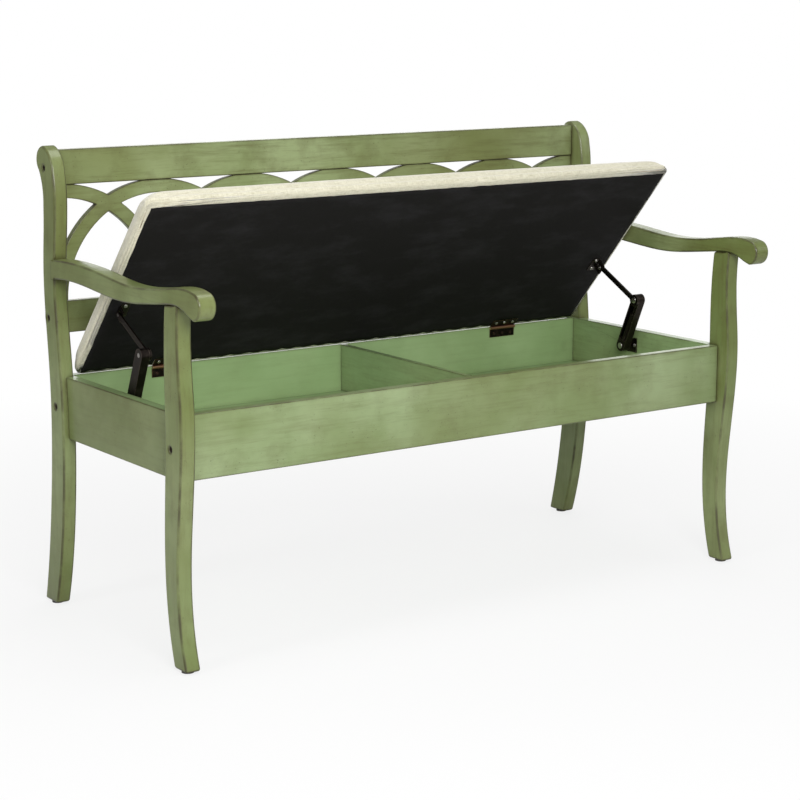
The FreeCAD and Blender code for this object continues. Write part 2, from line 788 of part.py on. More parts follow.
# Interlaced arches: a ring about each bay line, sawn from one panel between the rails.
bay = 2 * post_inner / BAYS
arch_rise = top_rail_bottom - size.low_rail_top
arch_outer = bay * size.arch_spread
arch_inner = arch_outer - size.arch_band
arch_centre = top_rail_bottom + size.arch_flat - arch_outer
splat_y = rail_middle - size.splat_thickness / 2
rings = []
for step in range(BAYS + 1):
    centre = (-post_inner + step * bay, splat_y, arch_centre)
    disc = rod(arch_outer, "Sizes.splat_thickness", centre, BACKWARD)
    bore = rod(arch_inner, "Sizes.splat_thickness", centre, BACKWARD)
    rings.append(cut(disc, bore))
panel = block(between_posts, "Sizes.splat_thickness", arch_rise, (-post_inner, splat_y, size.low_rail_top))
splat = doc.addObject("Part::Common", "Splat")
splat.Base = joined(rings)
splat.Tool = panel
keep(splat, "arch_splat")

# Storage box: aprons, cleats, floor and divider.
front_apron = block("Sizes.frame_width - 2 * Sizes.leg_width", "Sizes.front_apron_thickness",
                    "Sizes.apron_height", (-leg_inner, front_apron_face, apron_bottom))
keep(cut(front_apron, voids), "front_apron")
rear_apron = block(between_posts, "Sizes.rear_apron_thickness", "Sizes.apron_height",
                   (-post_inner, rear_apron_face, apron_bottom))
keep(cut(cut(rear_apron, voids), box_screw_set), "rear_apron")
side_front = front_apron_face
side_length = rear_apron_face - side_front
for side, sign in SIDES:
    x = apron_inner if sign > 0 else -apron_outer
    board = block("Sizes.side_apron_thickness", side_length, "Sizes.apron_height", (x, side_front, apron_bottom))
    behind_leg = cut(board, leg_blanks[side])
    seated = cut(behind_leg, post_blanks[side])
    clear = block(leg_inner, "Sizes.front_apron_thickness", "Sizes.apron_height",
                  (0 if sign > 0 else -leg_inner, front_apron_face, apron_bottom))
    keep(cut(cut(seated, clear), foot_screw_set), side + "_apron")

inner_length = rear_apron_face - front_apron_inner
cleat_parts = [
    block(2 * apron_inner, "Sizes.cleat_width", "Sizes.cleat_height",
          (-apron_inner, front_apron_inner, apron_bottom)),
    block(2 * apron_inner, "Sizes.cleat_width", "Sizes.cleat_height",
          (-apron_inner, rear_apron_face - size.cleat_width, apron_bottom)),
]
cleat_side_length = inner_length - 2 * size.cleat_width
for side, sign in SIDES:
    x = apron_inner - size.cleat_width if sign > 0 else -apron_inner
    cleat_parts.append(block("Sizes.cleat_width", cleat_side_length, "Sizes.cleat_height",
                             (x, front_apron_inner + size.cleat_width, apron_bottom)))
keep(grouped(cleat_parts), "floor_cleats")
keep(block(2 * apron_inner, inner_length, "Sizes.floor_thickness",
           (-apron_inner, front_apron_inner, floor_bottom)), "storage_floor")
divider = block("Sizes.divider_thickness", inner_length, size.box_top - floor_top,
                (-size.divider_thickness / 2, front_apron_inner, floor_top))
keep(divider, "storage_divider")

# Glides under the four feet.
front_foot_y = front + size.leg_foot_setback + size.foot_depth / 2
rear_foot_y = back - size.post_foot_depth / 2
glides = []
for side, sign in SIDES:
    for x, y in ((arm_line, front_foot_y), (post_inner + size.post_width / 2, rear_foot_y)):
        glides.append(rod("Sizes.glide_radius", "Sizes.glide_height", (sign * x, y, 0)))
keep(grouped(glides), "foot_glides")

board = round_corners(block(lid_width, "Sizes.lid_depth", "Sizes.board_thickness",
                            (-lid_half, board_front, size.board_rise)), size.lid_corner)
on_lid([cut(board, lid_screw_set)], "lid_board")

# The fabric that wraps the board's edges and its hem under the board.
wrap_outer = block(lid_width + 2 * wrap, "Sizes.lid_depth + 2 * Sizes.cover_thickness",
                   "Sizes.board_thickness + Sizes.cover_thickness",
                   (-lid_half - wrap, board_front - wrap, size.board_rise - wrap))
wrap_outer = round_corners(wrap_outer, size.lid_corner + wrap)
wrap_window = block(lid_width - 2 * size.cover_hem, "Sizes.lid_depth - 2 * Sizes.cover_hem",
                    "Sizes.board_thickness",
                    (-lid_half + size.cover_hem, board_front + size.cover_hem, size.board_rise - 2 * wrap))
on_lid([cut(cut(cut(wrap_outer, board), wrap_window), lid_screw_set)], "cover_wrap")
dust_rear = -size.hinge_leaf_depth - size.dust_margin / 4
dust = block(lid_width - 2 * size.dust_margin, dust_rear - board_front - size.dust_margin,
             "Sizes.dust_thickness", (-lid_half + size.dust_margin, board_front + size.dust_margin, dust_bottom))
on_lid([cut(dust, lid_screw_set)], "dust_cover")


def pad_section(x, inset, crown):
    """A closed section of the padded seat: flat under, bulging sides, crowned top."""
    rear = board_rear + wrap - inset
    fore = board_front - wrap + inset
    middle = (rear + fore) / 2
    shoulder = board_top + max(size.pad_edge - inset * 0.55, 2.0)
    pull = size.pad_side_pull
    half_up = (board_top + shoulder) / 2
    low_rear = Vector(x, rear, board_top)
    high_rear = Vector(x, rear - pull, shoulder)
    low_fore = Vector(x, fore, board_top)
    high_fore = Vector(x, fore + pull, shoulder)
    edges = [
        Part.LineSegment(low_fore, low_rear).toShape(),
        Part.Arc(low_rear, Vector(x, rear + pull * 0.3, half_up), high_rear).toShape(),
        Part.Arc(high_rear, Vector(x, middle, shoulder + crown), high_fore).toShape(),
        Part.Arc(high_fore, Vector(x, fore - pull * 0.3, half_up), low_fore).toShape(),
    ]
    return Part.Wire(edges)


pad_half = lid_half + wrap
pad_sections = []
for reach, inset, share in ((1.0, 14.0, 0.2), (1 - size.pad_end_slope / pad_half, 3.0, 0.75), (0.6, 0.0, 1.0)):
    pad_sections.append((pad_half * reach, inset, size.pad_crown * share))
mirrored = [(-x, inset, crown) for x, inset, crown in pad_sections]
pad_wires = [pad_section(*values) for values in mirrored + pad_sections[::-1]]
pad_shape = Part.makeLoft(pad_wires, True, True)
pad = doc.addObject("Part::Feature", "Pad")
pad.Shape = pad_shape
pad.Placement = Placement(Vector(0, hinge_y, hinge_z), Rotation(Vector(-1, 0, 0), size.lid_angle))
bind(pad, Placement_Rotation_Angle="Sizes.lid_angle")
keep(pad, "seat_pad")

doc.recompute()

for item in doc.Objects:
    if "Invalid" in item.State or "Error" in item.State:
        raise RuntimeError("failed: %s %s" % (item.Name, item.Label))
for item in parts:
    if item.Shape.isNull() or not item.Shape.isValid() or not item.Shape.Solids:
        raise RuntimeError("bad shape: " + item.Label)

os.makedirs("parts", exist_ok=True)
for item in parts:
    item.Shape.exportStep("parts/%s.step" % item.Label)
print(len(parts), "sub-parts written")
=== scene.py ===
import bmesh
import bpy
import math
from mathutils import Matrix, Vector, noise


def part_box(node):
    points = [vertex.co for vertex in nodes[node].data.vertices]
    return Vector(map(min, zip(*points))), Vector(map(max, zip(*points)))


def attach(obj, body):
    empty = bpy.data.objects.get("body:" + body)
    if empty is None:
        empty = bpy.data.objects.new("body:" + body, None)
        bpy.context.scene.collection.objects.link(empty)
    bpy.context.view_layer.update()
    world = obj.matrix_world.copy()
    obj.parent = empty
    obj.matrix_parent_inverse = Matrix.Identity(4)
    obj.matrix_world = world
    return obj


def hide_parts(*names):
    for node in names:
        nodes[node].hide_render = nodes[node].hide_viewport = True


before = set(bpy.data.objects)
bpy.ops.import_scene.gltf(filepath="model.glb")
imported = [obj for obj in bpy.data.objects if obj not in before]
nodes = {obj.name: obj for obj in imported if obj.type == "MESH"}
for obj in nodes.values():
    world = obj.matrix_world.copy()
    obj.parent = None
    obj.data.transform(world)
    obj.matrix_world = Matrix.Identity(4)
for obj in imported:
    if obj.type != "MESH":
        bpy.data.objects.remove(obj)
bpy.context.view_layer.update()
scene = bpy.context.scene
SIDES = (("left", -1), ("right", 1))

# Lengths are in metres, the lens in millimetres.
# Camera at the photograph's viewing angle, turned in degrees.
LENS = 94.24
SENSOR = 36
CAMERA_PLACE = (-2.3012, -3.2496, 1.1585)
CAMERA_TURN = (78.82, 0, -34.97)

camera_data = bpy.data.cameras.new("camera")
camera_data.lens = LENS
camera_data.sensor_width = SENSOR
camera = bpy.data.objects.new("camera", camera_data)
camera.location = CAMERA_PLACE
camera.rotation_euler = [math.radians(turn) for turn in CAMERA_TURN]
scene.collection.objects.link(camera)
scene.camera = camera
scene.view_settings.view_transform = "Standard"

# The lid's own frame: the hinge line, then the opening angle.
LID_TURN = math.radians(48.6)
hinge_low, hinge_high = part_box("hinge_pins")
HINGE = (hinge_low + hinge_high) / 2
HINGE.x = 0
LID_FRAME = Matrix.Translation(HINGE) @ Matrix.Rotation(LID_TURN, 4, (-1, 0, 0))


class Shader:
    """A material's node tree, built one node at a time."""

    def __init__(self, name):
        self.material = bpy.data.materials.new(name)
        self.material.use_nodes = True
        self.tree = self.material.node_tree
        self.surface = self.tree.nodes["Principled BSDF"]
        self.where = self.node("ShaderNodeTexCoord").outputs["Object"]

    def node(self, kind, inputs=None, **settings):
        item = self.tree.nodes.new(kind)
        for name, value in settings.items():
            setattr(item, name, value)
        for name, value in (inputs or {}).items():
            self.feed(item.inputs[name], value)
        return item

    def feed(self, socket, value):
        if isinstance(value, bpy.types.NodeSocket):
            self.tree.links.new(value, socket)
        else:
            socket.default_value = value

    def scaled(self, scale, turn=(0, 0, 0)):
        """The place on the object, stretched by a scale along each axis."""
        mapping = self.node("ShaderNodeMapping", {"Vector": self.where, "Scale": scale, "Rotation": turn})
        return mapping.outputs["Vector"]

    def noise(self, scale, detail=3.0, stretch=(1, 1, 1), turn=(0, 0, 0), rough=0.55):
        place = self.scaled([scale * value for value in stretch], turn)
        inputs = {"Vector": place, "Scale": 1.0, "Detail": detail, "Roughness": rough}
        return self.node("ShaderNodeTexNoise", inputs).outputs["Fac"]

    def ramp(self, value, low, high, start=0.0, end=1.0):
        inputs = {"Value": value, "From Min": low, "From Max": high, "To Min": start, "To Max": end}
        return self.node("ShaderNodeMapRange", inputs, clamp=True).outputs["Result"]

    def math(self, kind, first, second=0.0):
        item = self.node("ShaderNodeMath", operation=kind)
        self.feed(item.inputs[0], first)
        self.feed(item.inputs[1], second)
        return item.outputs[0]

    def vector_math(self, kind, first, second):
        item = self.node("ShaderNodeVectorMath", operation=kind)
        self.feed(item.inputs[0], first)
        self.feed(item.inputs[1], second)
        return item.outputs

    def mix(self, share, first, second):
        item = self.node("ShaderNodeMix", data_type="RGBA", blend_type="MIX")
        self.feed(item.inputs["Factor"], share)
        for index, value in ((6, first), (7, second)):
            self.feed(item.inputs[index], (*value, 1) if isinstance(value, tuple) else value)
        return item.outputs[2]

    def layers(self, base, rows):
        """Lays colours over a base. Each row is a pattern, where it starts and is full, strength, colour."""
        for pattern, start, full, strength, colour in rows:
            base = self.mix(self.ramp(pattern, start, full, 0.0, strength), base, colour)
        return base

    def bump(self, height, depth, strength=1.0, under=None):
        inputs = {"Height": height, "Distance": depth, "Strength": strength}
        if under is not None:
            inputs["Normal"] = under
        return self.node("ShaderNodeBump", inputs).outputs["Normal"]

    def finish(self, **values):
        for name, value in values.items():
            socket = self.surface.inputs[name.replace("_", " ")]
            self.feed(socket, (*value, 1) if isinstance(value, tuple) and len(value) == 3 else value)
        return self.material


def edge_share(shader, radius):
    """1 on an edge, 0 on a flat face."""
    rounded = shader.node("ShaderNodeBevel", {"Radius": radius}, samples=6).outputs["Normal"]
    flat = shader.node("ShaderNodeNewGeometry").outputs["Normal"]
    product = shader.vector_math("DOT_PRODUCT", rounded, flat)["Value"]
    return shader.ramp(product, 0.985, 0.90)


def corner_glaze_and_shade(shader, reach):
    """1 deep in a corner between two pieces, 0 in the open. It is ambient occlusion, so the darkening it
    drives is partly painted shade.
    """
    shade = shader.node("ShaderNodeAmbientOcclusion", {"Distance": reach}, samples=6).outputs["AO"]
    return shader.ramp(shade, 0.9, 0.35)


GRAIN = {"x": (1, 14, 14), "y": (14, 1, 14), "z": (14, 14, 1)}
WASH_TURN = (0.4, 0.9, 0.2)
OLIVE = (0.150, 0.165, 0.052)
# The glaze colours also paint shade into corners.
GLAZE_AND_SHADE = (0.092, 0.088, 0.024)
DARK_GLAZE_AND_SHADE = (0.034, 0.026, 0.009)
SOFT_CORNER = 0.060
TIGHT_CORNER = 0.012
WIDE_EDGE = 0.009
WORN_EDGE = 0.0035
HALF_LAP = 0.0005


def paint(name, colour, light, along, glaze=1.0, outside=None):
    """Brushed paint under a brown glaze that stays in the pores and along worn edges. Corners between pieces
    are darkened through ambient occlusion: partly glaze gathered in the joints, partly painted shade.

    outside is (axis, place, colour, light) for a board of the box whose outer face takes a shaded copy of
    the sage, painted darker than the front apron's.
    """
    shader = Shader(name)
    cloud = shader.noise(4.0, 4.0)
    patch = shader.noise(17.0, 5.0, rough=0.6)
    streak = shader.noise(7.0, 6.0, GRAIN[along], rough=0.7)
    pore = shader.noise(45.0, 3.0, GRAIN[along])
    fleck = shader.noise(260.0, 2.0)
    wash = shader.noise(2.6, 3.0, turn=WASH_TURN)
    clouded = shader.ramp(cloud, 0.38, 0.62)
    base = shader.mix(clouded, colour, light)
    if outside is not None:
        axis, lap, outer, outer_light = outside
        parts = shader.node("ShaderNodeSeparateXYZ", {"Vector": shader.where})
        reach = shader.math("ABSOLUTE", parts.outputs[axis])
        past = shader.ramp(reach, lap - HALF_LAP, lap + HALF_LAP)
        base = shader.mix(past, base, shader.mix(clouded, outer, outer_light))
    base = shader.layers(base, (
        (wash, 0.42, 0.66, 0.50 * glaze, OLIVE),
        (streak, 0.48, 0.78, 0.50 * glaze, GLAZE_AND_SHADE),
        (patch, 0.50, 0.78, 0.38 * glaze, GLAZE_AND_SHADE),
        (pore, 0.60, 0.74, 0.22 * glaze, GLAZE_AND_SHADE),
    ))
    arris = shader.node("ShaderNodeAttribute", attribute_name="arris").outputs["Fac"]
    in_corner = shader.ramp(patch, 0.25, 0.60, 0.5, 1.0)
    along_edge = shader.ramp(streak, 0.35, 0.60, 0.25, 0.95)
    glaze_and_corner_shade = (
        # where the glaze and the painted corner shade gather, how evenly, strength, colour
        (shader.ramp(fleck, 0.68, 0.73), shader.ramp(patch, 0.42, 0.58), 0.60 * glaze, DARK_GLAZE_AND_SHADE),
        # Ambient occlusion darkens the corners in glaze colours: partly glaze in the joints, partly painted
        # shade.
        (corner_glaze_and_shade(shader, SOFT_CORNER), 1.0, 0.40 * glaze, GLAZE_AND_SHADE),
        (corner_glaze_and_shade(shader, TIGHT_CORNER), in_corner, 0.70 * glaze, DARK_GLAZE_AND_SHADE),
        (edge_share(shader, WIDE_EDGE), shader.ramp(cloud, 0.30, 0.65, 0.25, 0.75), 0.55, GLAZE_AND_SHADE),
        (edge_share(shader, WORN_EDGE), along_edge, 0.75, DARK_GLAZE_AND_SHADE),
        (arris, shader.ramp(patch, 0.30, 0.58, 0.10, 0.80), 1.0, DARK_GLAZE_AND_SHADE),
    )
    for place, evenness, strength, tone in glaze_and_corner_shade:
        share = shader.math("MULTIPLY", place, evenness)
        base = shader.mix(shader.math("MULTIPLY", share, strength), base, tone)
    height = shader.math("ADD", shader.math("MULTIPLY", pore, 0.6), streak)
    normal = shader.bump(height, 0.0005, 0.30)
    rough = shader.ramp(patch, 0.3, 0.7, 0.30, 0.42)
    return shader.finish(Base_Color=base, Roughness=rough, Normal=normal, Specular_IOR_Level=0.38,
                         Coat_Weight=0.24, Coat_Roughness=0.09)


LINEN_LOW = (0.52, 0.495, 0.365)
LINEN_HIGH = (0.58, 0.55, 0.42)
WARP_THREAD = (0.70, 0.68, 0.55)
WEFT_THREAD = (0.33, 0.30, 0.19)
SLUB_THREAD = (0.78, 0.76, 0.64)


def linen(name, turn):
    """Heathered linen: coarse threads both ways, with slubs and a soft sheen."""
    shader = Shader(name)
    warp = shader.noise(900.0, 2.0, (1, 0.09, 0.09), turn)
    weft = shader.noise(900.0, 2.0, (0.09, 1, 0.7), turn)
    slub = shader.noise(160.0, 3.0, (0.12, 1, 1), turn)
    cloud = shader.noise(14.0, 3.0)
    cloth = shader.mix(shader.ramp(cloud, 0.35, 0.65), LINEN_LOW, LINEN_HIGH)
    cloth = shader.layers(cloth, (
        (warp, 0.40, 0.66, 0.60, WARP_THREAD),
        (weft, 0.50, 0.70, 0.60, WEFT_THREAD),
        (slub, 0.62, 0.75, 0.50, SLUB_THREAD),
    ))
    height = shader.math("ADD", warp, shader.math("ADD", weft, slub))
    normal = shader.bump(height, 0.0009, 0.55)
    return shader.finish(Base_Color=cloth, Roughness=0.92, Normal=normal, Sheen_Weight=0.50,
                         Sheen_Roughness=0.5)


CAMBRIC_BLACK = (0.0050, 0.0042, 0.0042)
CAMBRIC_SCUFF = (0.019, 0.018, 0.020)
CAMBRIC_BLOOM = (0.024, 0.022, 0.023)


def cambric(name):
    """Thin black non-woven cloth with faint scuffs and a grey bloom."""
    shader = Shader(name)
    fibre = shader.noise(700.0, 3.0)
    scuff = shader.noise(9.0, 6.0, (1, 2.4, 2.4), rough=0.7)
    crease = shader.noise(3.5, 2.0)
    cloth = shader.layers(CAMBRIC_BLACK, (
        (scuff, 0.48, 0.74, 0.80, CAMBRIC_SCUFF),
        (fibre, 0.55, 0.72, 0.40, CAMBRIC_BLOOM),
    ))
    normal = shader.bump(fibre, 0.0003, 0.4, shader.bump(crease, 0.004, 0.3))
    return shader.finish(Base_Color=cloth, Roughness=0.85, Normal=normal, Specular_IOR_Level=0.25)


RUBBED_EDGE = 0.0012
# Reach of the painted highlight round a line, such as a hinge's knuckles.
HIGHLIGHT_NEAR = 0.0030
HIGHLIGHT_FAR = 0.0042


def metal(name, colour, worn_and_highlight_colour, rough, wear, knuckle_highlight_line=None):
    """Metal with cloudy patina, fine scratches and brighter rubbed edges.

    The last argument is the (y, z) of a line along the bench, such as a hinge's knuckles, round which the
    metal is painted in the brighter worn colour: a painted highlight.
    """
    shader = Shader(name)
    cloud = shader.noise(70.0, 4.0)
    scratch = shader.noise(500.0, 2.0, (1, 0.08, 0.3))
    edge = shader.math("MULTIPLY", edge_share(shader, RUBBED_EDGE), wear)
    tone = shader.mix(shader.ramp(cloud, 0.5, 0.8, 0.0, wear * 0.25), colour, worn_and_highlight_colour)
    tone = shader.mix(edge, tone, worn_and_highlight_colour)
    # Painted highlight: metal near the line, such as a hinge's knuckles, takes the brighter worn colour.
    if knuckle_highlight_line is not None:
        level = shader.vector_math("MULTIPLY", shader.where, (0, 1, 1))["Vector"]
        apart = shader.vector_math("DISTANCE", level, (0, *knuckle_highlight_line))["Value"]
        tone = shader.mix(shader.ramp(apart, HIGHLIGHT_FAR, HIGHLIGHT_NEAR, 0.0, 0.85), tone, worn_and_highlight_colour)
    finish = shader.ramp(cloud, 0.3, 0.7, rough - 0.06, rough + 0.1)
    normal = shader.bump(scratch, 0.0002, 0.25)
    return shader.finish(Base_Color=tone, Metallic=1.0, Roughness=finish, Normal=normal)


PLY_PALE = (0.55, 0.40, 0.24)
PLY_BROWN = (0.34, 0.22, 0.12)


def plywood(name):
    """Bare plywood with brown grain lines along the bench."""
    shader = Shader(name)
    line = shader.noise(30.0, 5.0, (0.05, 1, 1), rough=0.7)
    tone = shader.mix(shader.ramp(line, 0.35, 0.7), PLY_PALE, PLY_BROWN)
    return shader.finish(Base_Color=tone, Roughness=0.7, Normal=shader.bump(line, 0.0004, 0.5))


def moulded(name, colour, fleck):
    """Moulded plastic with a fine grain."""
    shader = Shader(name)
    grain = shader.noise(900.0, 2.0)
    tone = shader.mix(shader.ramp(grain, 0.4, 0.7, 0.0, 0.3), colour, fleck)
    return shader.finish(Base_Color=tone, Roughness=0.55, Normal=shader.bump(grain, 0.0002, 0.4))


# Paint colours, darker and lighter cloud of each. The long front apron's sage is a lit copy, painted lighter
# where it faces the key lamp; the frame's is a shaded copy, painted darker, and the side aprons' outer faces
# take a darker copy still: painted light and shade on one paint.
SAGE = ((0.175, 0.225, 0.080), (0.285, 0.345, 0.170))
LIT_FRONT_SAGE = ((0.185, 0.245, 0.098), (0.295, 0.370, 0.195))
SHADED_FRAME_SAGE = ((0.139, 0.179, 0.055), (0.228, 0.275, 0.118))
SHADED_SIDE_SAGE = ((0.127, 0.163, 0.050), (0.208, 0.251, 0.107))
BOX_GREEN = ((0.255, 0.375, 0.165), (0.320, 0.450, 0.215))
PAINT_LAP = 0.0025
SIDE_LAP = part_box("right_apron")[1].x - PAINT_LAP
REAR_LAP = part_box("rear_apron")[1].y - PAINT_LAP

# Painted shade: the frame's paints carry more glaze than the front apron's, which darkens and yellows them
# as shade does.
paints = {"x": paint("sage_paint_x", *LIT_FRONT_SAGE, "x", 0.85)}
for axis in "yz":
    paints[axis] = paint("sage_paint_" + axis, *SHADED_FRAME_SAGE, axis, 1.15)
back_paint = paint("back_paint", *SAGE, "x", 1.35)
box_paint = paint("box_paint", *BOX_GREEN, "x", 0.25)
divider_paint = paint("divider_paint", *BOX_GREEN, "y", 0.70)
# Painted shade: the side aprons' outer faces take the darkest copy of the sage, for faces turned to the
# side.
side_paint = paint("side_paint", *BOX_GREEN, "y", 0.80, ("X", SIDE_LAP, *SHADED_SIDE_SAGE))
rear_paint = paint("rear_paint", *BOX_GREEN, "x", 0.30, ("Y", REAR_LAP, *SHADED_FRAME_SAGE))
linen_cloth = linen("linen", (-LID_TURN, 0, 0))
dust_cloth = cambric("cambric")
# Its hinge knuckles get a painted highlight in the worn copper colour.
bronze = metal("aged_bronze", (0.022, 0.017, 0.015), (0.50, 0.27, 0.16), 0.42, 0.55, (HINGE.y, HINGE.z))
stay_metal = metal("stay_steel", (0.035, 0.028, 0.024), (0.30, 0.24, 0.20), 0.40, 0.55)
zinc = metal("zinc_steel", (0.48, 0.46, 0.43), (0.80, 0.78, 0.75), 0.30, 0.5)
black_bolt = metal("black_steel", (0.030, 0.022, 0.016), (0.14, 0.10, 0.07), 0.45, 0.4)
bare_wood = plywood("bare_plywood")
nylon = moulded("nylon", (0.06, 0.055, 0.05), (0.16, 0.15, 0.14))


def dress(material, *names):
    """Gives CAD nodes a material."""
    for name in names:
        mesh = nodes[name].data
        mesh.materials.clear()
        mesh.materials.append(material)


SAME_PLACE = 1e-5
FLAT_ANGLE = math.radians(0.5)
ARRIS_ANGLE = math.radians(40)
SMOOTH_ANGLE = math.radians(38)
SHORTEST_ARRIS = 0.0029
ARRIS_STEPS = 3
NO_JOINT = 1.0
ARM_JOINT = 0.228


def is_arris(edge, joint_y):
    """True for a sharp edge that is long enough to soften and lies in front of a glued joint."""
    if len(edge.link_faces) != 2 or edge.calc_face_angle(0) <= ARRIS_ANGLE:
        return False
    middle = (edge.verts[0].co + edge.verts[1].co) / 2
    return edge.calc_length() > SHORTEST_ARRIS and middle.y < joint_y


def eased(node, material, width, joint_y):
    """A copy of a wooden part with softened arrises, which stands for the CAD node.

    The vertices in the middle of each arris have the attribute arris, for the glaze rubbed along it.
    """
    bm = bmesh.new()
    bm.from_mesh(nodes[node].data)
    bmesh.ops.remove_doubles(bm, verts=bm.verts, dist=SAME_PLACE)
    bmesh.ops.dissolve_limit(bm, angle_limit=FLAT_ANGLE, verts=bm.verts, edges=bm.edges)
    ridge = bm.verts.layers.float.new("arris")
    arrises = [edge for edge in bm.edges if is_arris(edge, joint_y)]
    made = bmesh.ops.bevel(bm, geom=arrises, offset=width, segments=ARRIS_STEPS, profile=0.5,
                           affect="EDGES", clamp_overlap=False)
    rounded = set(made["faces"])
    for vertex in bm.verts:
        if all(face in rounded for face in vertex.link_faces):
            vertex[ridge] = 1.0
    mesh = bpy.data.meshes.new(node + "_eased")
    bm.to_mesh(mesh)
    bm.free()
    for face in mesh.polygons:
        face.use_smooth = True
    mesh.set_sharp_from_angle(angle=SMOOTH_ANGLE)
    mesh.materials.append(material)
    obj = bpy.data.objects.new(node + "_eased", mesh)
    scene.collection.objects.link(obj)
    weigh = obj.modifiers.new("weigh", "WEIGHTED_NORMAL")
    weigh.keep_sharp = True
    obj.data = applied(obj)
    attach(obj, "frame")
    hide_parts(node)


def applied(obj):
    """The object's mesh with its modifiers applied. They are then removed."""
    mesh = bpy.data.meshes.new_from_object(obj.evaluated_get(bpy.context.evaluated_depsgraph_get()))
    obj.modifiers.clear()
    return mesh


EASED_PARTS = (
    # parts, paint, width of the arris, joint that it ends at, slot
    (("front_apron",), paints["x"], 0.0022, NO_JOINT, "painted_wood"),
    (("top_rail", "lower_back_rail"), back_paint, 0.0022, NO_JOINT, "painted_wood"),
    (("arch_splat",), back_paint, 0.0016, NO_JOINT, "painted_wood"),
    (("left_apron", "right_apron"), side_paint, 0.0018, NO_JOINT, "painted_wood"),
    (("left_arm", "right_arm"), paints["y"], 0.0040, ARM_JOINT, "painted_wood"),
    (("left_rear_post", "right_rear_post"), paints["z"], 0.0046, NO_JOINT, "painted_wood"),
    (("left_front_leg", "right_front_leg"), paints["z"], 0.0046, NO_JOINT, "painted_wood"),
    (("storage_divider",), divider_paint, 0.0012, NO_JOINT, "box_paint"),
)
for names, material, width, joint_y, slot_name in EASED_PARTS:
    for name in names:
        eased(name, material, width, joint_y)

dress(rear_paint, "rear_apron")
dress(box_paint, "storage_floor", "floor_cleats")
dress(bare_wood, "lid_board", "arm_tenons")
dress(bronze, "hinge_box_leaves", "hinge_lid_leaves")
dress(zinc, "hinge_pins", "barrel_nuts")
dress(nylon, "foot_glides")
for side, sign in SIDES:
    dress(stay_metal, side + "_stay_housing", side + "_stay_arm", side + "_stay_damper")
    dress(stay_metal, side + "_stay_foot_bracket", side + "_stay_top_bracket")
    dress(zinc, side + "_elbow_pin", side + "_top_pin")

LID_HALF = 0.5940
LID_REAR = -0.0020
LID_FRONT = -0.4560
LID_MIDDLE = (LID_REAR + LID_FRONT) / 2


def piece(name, verts, faces, material, body):
    """A smooth mesh object that rides on a body."""
    mesh = bpy.data.meshes.new(name)
    mesh.from_pydata([tuple(v) for v in verts], [], faces)
    mesh.update()
    bm = bmesh.new()
    bm.from_mesh(mesh)
    bmesh.ops.recalc_face_normals(bm, faces=bm.faces)
    bm.to_mesh(mesh)
    bm.free()
    for face in mesh.polygons:
        face.use_smooth = True
    mesh.materials.append(material)
    obj = bpy.data.objects.new(name, mesh)
    scene.collection.objects.link(obj)
    if body:
        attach(obj, body)
    return obj


def rounded_outline(half_x, rear, fore, radius, steps=6):
    """Points of a rectangle with rounded corners, seen from above."""
    points = []
    corners = (
        (half_x - radius, rear - radius, 0),
        (-half_x + radius, rear - radius, 90),
        (-half_x + radius, fore + radius, 180),
        (half_x - radius, fore + radius, 270),
    )
    for x, y, start in corners:
        for step in range(steps + 1):
            turn = math.radians(start + 90 * step / steps)
            points.append((x + radius * math.cos(turn), y + radius * math.sin(turn)))
    return points


def rings_to_faces(count, rings):
    """Quads between closed rings of the same point count."""
    faces = []
    for ring in range(rings - 1):
        for index in range(count):
            after = (index + 1) % count
            low = ring * count
            high = low + count
            faces.append((low + index, low + after, high + after, high + index))
    return faces


def wave(x, y, x_scale, y_scale, seed):
    """Smooth unevenness between -1 and 1."""
    return noise.noise(Vector((x * x_scale, y * y_scale, seed)))


# Padded seat: foam and wadding under linen, pulled round the board's edges.
PAD_RINGS = (
    # inset from the edge, height, corner radius
    (0.0300, 0.0042, 0.010),
    (0.0040, 0.0042, 0.012),
    (-0.0034, 0.0066, 0.013),
    (-0.0060, 0.0120, 0.016),
    (-0.0084, 0.0200, 0.023),
    (-0.0088, 0.0280, 0.030),
    (-0.0060, 0.0360, 0.038),
    (0.0020, 0.0420, 0.046),
    (0.0200, 0.0455, 0.060),
    (0.0650, 0.0470, 0.090),
    (0.1300, 0.0480, 0.090),
)
REAR_BULGE = 0.45
PAD_SIDE = 0.5980
PAD_TOP = 0.0570
PAD_HALF_DEPTH = 0.226
PAD_VOXEL = 0.0058
PRESSURE = 4.0
LARGEST_SWELL = 0.006
HELD_BELOW = 0.0175
SWELL_STEPS = 20
CLOTH_SETTINGS = {
    "quality": 4,
    "mass": 0.25,
    "tension_stiffness": 12,
    "compression_stiffness": 12,
    "bending_stiffness": 0.4,
    "vertex_group_mass": "held",
    "use_pressure": True,
    "uniform_pressure_force": PRESSURE,
}


def lid_outline(inset, radius, steps=6):
    """The lid's outline, drawn in by an inset. A bulge is smaller at the rear, beside the back posts."""
    rear = LID_REAR - max(inset, REAR_BULGE * inset)
    return rounded_outline(LID_HALF - inset, rear, LID_FRONT + inset, radius, steps)


def pad_mesh():
    verts = []
    count = 0
    for inset, height, radius in PAD_RINGS:
        ring = lid_outline(inset, radius)
        count = len(ring)
        verts += [(x, y, height) for x, y in ring]
    faces = rings_to_faces(count, len(PAD_RINGS))
    faces.append(tuple(range(count)))
    last = (len(PAD_RINGS) - 1) * count
    faces.append(tuple(range(last, last + count)))
    return verts, faces


